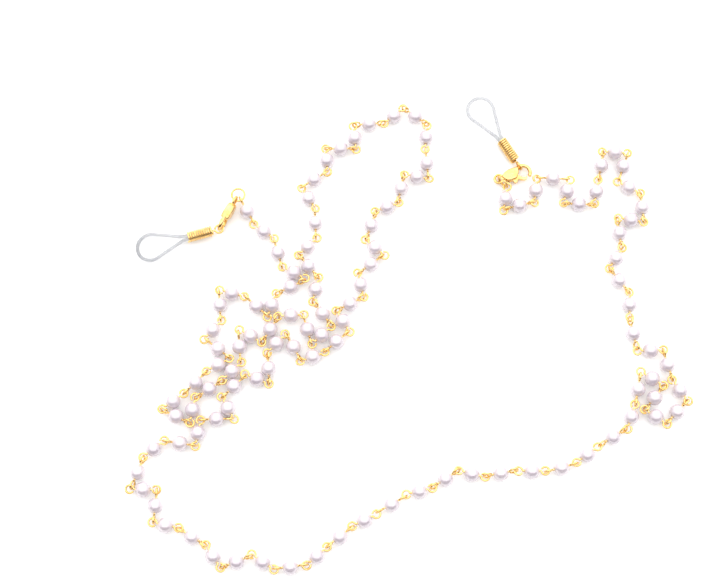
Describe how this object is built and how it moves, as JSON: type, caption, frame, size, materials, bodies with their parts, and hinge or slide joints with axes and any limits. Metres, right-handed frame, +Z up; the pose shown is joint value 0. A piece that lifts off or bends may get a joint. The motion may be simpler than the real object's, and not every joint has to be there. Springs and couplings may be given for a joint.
{
  "type": "eyeglasses chain strap",
  "caption": "Neck chain for eyeglasses: round pearl beads on looped gold wire pins, with a lobster clasp, coil crimp and clear elastic temple loop at each end.",
  "frame": {"origin": "middle of the laid-out chain's footprint, on the surface it lies on", "axes": "+X right along the longest extent of the laid-out chain, +Y away from the viewer, +Z up"},
  "size_m": [0.1476, 0.1304, 0.005],
  "materials": {
    "pearl": "pearlescent coat over a moulded bead",
    "plated_wire": "bright gold plate on drawn wire",
    "plated_casting": "bright gold plate on a small casting",
    "clear_silicone": "clear, slightly cloudy elastic cord"
  },
  "bodies": {
    "run_01": {"beads_01": "pearl", "eye_pins_01": "plated_wire"},
    "run_02": {"beads_02": "pearl", "eye_pins_02": "plated_wire"},
    "run_03": {"beads_03": "pearl", "eye_pins_03": "plated_wire"},
    "run_04": {"beads_04": "pearl", "eye_pins_04": "plated_wire"},
    "run_05": {"beads_05": "pearl", "eye_pins_05": "plated_wire"},
    "run_06": {"beads_06": "pearl", "eye_pins_06": "plated_wire"},
    "run_07": {"beads_07": "pearl", "eye_pins_07": "plated_wire"},
    "run_08": {"beads_08": "pearl", "eye_pins_08": "plated_wire"},
    "run_09": {"beads_09": "pearl", "eye_pins_09": "plated_wire"},
    "run_10": {"beads_10": "pearl", "eye_pins_10": "plated_wire"},
    "run_11": {"beads_11": "pearl", "eye_pins_11": "plated_wire"},
    "run_12": {"beads_12": "pearl", "eye_pins_12": "plated_wire"},
    "run_13": {"beads_13": "pearl", "eye_pins_13": "plated_wire"},
    "run_14": {"beads_14": "pearl", "eye_pins_14": "plated_wire"},
    "run_15": {"beads_15": "pearl", "eye_pins_15": "plated_wire"},
    "run_16": {"beads_16": "pearl", "eye_pins_16": "plated_wire"},
    "run_17": {"beads_17": "pearl", "eye_pins_17": "plated_wire"},
    "run_18": {"beads_18": "pearl", "eye_pins_18": "plated_wire"},
    "run_19": {"beads_19": "pearl", "eye_pins_19": "plated_wire"},
    "run_20": {"beads_20": "pearl", "eye_pins_20": "plated_wire"},
    "run_21": {"beads_21": "pearl", "eye_pins_21": "plated_wire"},
    "run_22": {"beads_22": "pearl", "eye_pins_22": "plated_wire"},
    "jump_ring_a": {"jump_ring_a": "plated_wire"},
    "clasp_a": {"clasp_body_a": "plated_casting", "clasp_rivet_a": "plated_casting", "clasp_spring_a": "plated_wire"},
    "clasp_lever_a": {"clasp_lever_a": "plated_casting"},
    "loop_holder_a": {"coil_crimp_a": "plated_wire", "temple_loop_a": "clear_silicone"},
    "jump_ring_b": {"jump_ring_b": "plated_wire"},
    "clasp_b": {"clasp_body_b": "plated_casting", "clasp_rivet_b": "plated_casting", "clasp_spring_b": "plated_wire"},
    "clasp_lever_b": {"clasp_lever_b": "plated_casting"},
    "loop_holder_b": {"coil_crimp_b": "plated_wire", "temple_loop_b": "clear_silicone"}
  },
  "joints": [
    {"name": "link_005_lift", "type": "hinge", "parent": "run_02", "child": "run_01", "pos_m": [0.04298, 0.03383, 0.002], "axis": [0.0461, 0.9989, 0], "range_deg": [-60, 60]},
    {"name": "link_009_swing", "type": "hinge", "parent": "run_03", "child": "run_02", "pos_m": [0.06027, 0.04863, 0.002], "axis": [0, 0, 1], "range_deg": [-60, 10]},
    {"name": "link_015_lift", "type": "hinge", "parent": "run_04", "child": "run_03", "pos_m": [0.05422, 0.01469, 0.002], "axis": [0.8066, 0.5912, 0], "range_deg": [-60, 60]},
    {"name": "link_019_swing", "type": "hinge", "parent": "run_05", "child": "run_04", "pos_m": [0.06664, -0.0065, 0.002], "axis": [0, 0, -1], "range_deg": [-5, 60]},
    {"name": "link_025_lift", "type": "hinge", "parent": "run_06", "child": "run_05", "pos_m": [0.06032, -0.01365, 0.002], "axis": [-0.9787, 0.2055, 0], "range_deg": [-60, 60]},
    {"name": "link_030_swing", "type": "hinge", "parent": "run_07", "child": "run_06", "pos_m": [0.03445, -0.0391, 0.002], "axis": [0, 0, -1], "range_deg": [-5, 60]},
    {"name": "link_035_lift", "type": "hinge", "parent": "run_08", "child": "run_07", "pos_m": [-0.00203, -0.04563, 0.002], "axis": [-0.4855, 0.8742, 0], "range_deg": [-60, 60]},
    {"name": "link_040_swing", "type": "hinge", "parent": "run_08", "child": "run_09", "pos_m": [-0.03538, -0.06371, 0.002], "axis": [0, 0, -1], "range_deg": [-60, 5]},
    {"name": "link_045_lift", "type": "hinge", "parent": "run_09", "child": "run_10", "pos_m": [-0.06598, -0.05104, 0.002], "axis": [0.9974, -0.0722, 0], "range_deg": [-60, 60]},
    {"name": "link_049_swing", "type": "hinge", "parent": "run_10", "child": "run_11", "pos_m": [-0.0644, -0.03098, 0.002], "axis": [0, 0, 1], "range_deg": [-10, 60]},
    {"name": "link_054_lift", "type": "hinge", "parent": "run_11", "child": "run_12", "pos_m": [-0.04396, -0.01425, 0.002], "axis": [0.7089, -0.7054, 0], "range_deg": [-60, 60]},
    {"name": "link_060_lift", "type": "hinge", "parent": "run_12", "child": "run_13", "pos_m": [-0.01686, -0.00232, 0.002], "axis": [0.6614, -0.75, 0], "range_deg": [-60, 60]},
    {"name": "link_064_lift", "type": "hinge", "parent": "run_13", "child": "run_14", "pos_m": [-0.00753, 0.01887, 0.002], "axis": [0.61, -0.7924, 0], "range_deg": [-60, 60]},
    {"name": "link_070_lift", "type": "hinge", "parent": "run_14", "child": "run_15", "pos_m": [0.00479, 0.04848, 0.002], "axis": [0.9974, 0.0717, 0], "range_deg": [-60, 60]},
    {"name": "link_075_lift", "type": "hinge", "parent": "run_15", "child": "run_16", "pos_m": [-0.01527, 0.04969, 0.002], "axis": [-0.0019, -1, 0], "range_deg": [-60, 60]},
    {"name": "link_080_lift", "type": "hinge", "parent": "run_16", "child": "run_17", "pos_m": [-0.02518, 0.02499, 0.002], "axis": [-0.9991, -0.0426, 0], "range_deg": [-60, 60]},
    {"name": "link_086_lift", "type": "hinge", "parent": "run_17", "child": "run_18", "pos_m": [-0.02812, 0.00177, 0.002], "axis": [0.96, 0.2798, 0], "range_deg": [-60, 60]},
    {"name": "link_090_lift", "type": "hinge", "parent": "run_18", "child": "run_19", "pos_m": [-0.04476, -0.00919, 0.002], "axis": [-0.9955, -0.0948, 0], "range_deg": [-60, 60]},
    {"name": "link_095_lift", "type": "hinge", "parent": "run_19", "child": "run_20", "pos_m": [-0.0586, -0.01782, 0.002], "axis": [-0.7201, 0.6938, 0], "range_deg": [-60, 60]},
    {"name": "link_101_lift", "type": "hinge", "parent": "run_20", "child": "run_21", "pos_m": [-0.04318, 0.00721, 0.002], "axis": [0.6638, 0.7479, 0], "range_deg": [-60, 60]},
    {"name": "link_105_lift", "type": "hinge", "parent": "run_21", "child": "run_22", "pos_m": [-0.03445, 0.01688, 0.002], "axis": [0.9606, 0.2779, 0], "range_deg": [-60, 60]},
    {"name": "jump_ring_a_lift", "type": "hinge", "parent": "run_01", "child": "jump_ring_a", "pos_m": [0.02613, 0.03938, 0.002], "axis": [0.7585, 0.6517, 0], "range_deg": [-40, 40]},
    {"name": "clasp_a_swing", "type": "hinge", "parent": "jump_ring_a", "child": "clasp_a", "pos_m": [0.02464, 0.04111, 0.0013], "axis": [0, 0, 1], "range_deg": [-4, 20]},
    {"name": "clasp_lever_a_press", "type": "hinge", "parent": "clasp_a", "child": "clasp_lever_a", "pos_m": [0.02805, 0.04157, 0.0013], "axis": [0, 0, 1], "range_deg": [0, 12], "stiffness_Nm_per_rad": 0.01, "springref_deg": -5.73, "deforming": ["clasp_spring_a"]},
    {"name": "loop_holder_a_lift", "type": "hinge", "parent": "clasp_a", "child": "loop_holder_a", "pos_m": [0.03036, 0.04465, 0.0013], "axis": [-0.848, -0.5299, 0], "range_deg": [-60, 60]},
    {"name": "jump_ring_b_swing", "type": "hinge", "parent": "run_22", "child": "jump_ring_b", "pos_m": [-0.04597, 0.03557, 0.002], "axis": [0, 0, -1], "range_deg": [-8, 15]},
    {"name": "clasp_b_swing", "type": "hinge", "parent": "jump_ring_b", "child": "clasp_b", "pos_m": [-0.04669, 0.03545, 0.00252], "axis": [0, 0, 1], "range_deg": [-20, 3]},
    {"name": "clasp_lever_b_press", "type": "hinge", "parent": "clasp_b", "child": "clasp_lever_b", "pos_m": [-0.04869, 0.03136, 0.00202], "axis": [-0.8988, 0.4384, 0], "range_deg": [0, 12], "stiffness_Nm_per_rad": 0.01, "springref_deg": -5.73, "deforming": ["clasp_spring_b"]},
    {"name": "loop_holder_b_swing", "type": "hinge", "parent": "clasp_b", "child": "loop_holder_b", "pos_m": [-0.0511, 0.02642, 0.00252], "axis": [0, 0, 1], "range_deg": [-45, 45]}
  ]
}
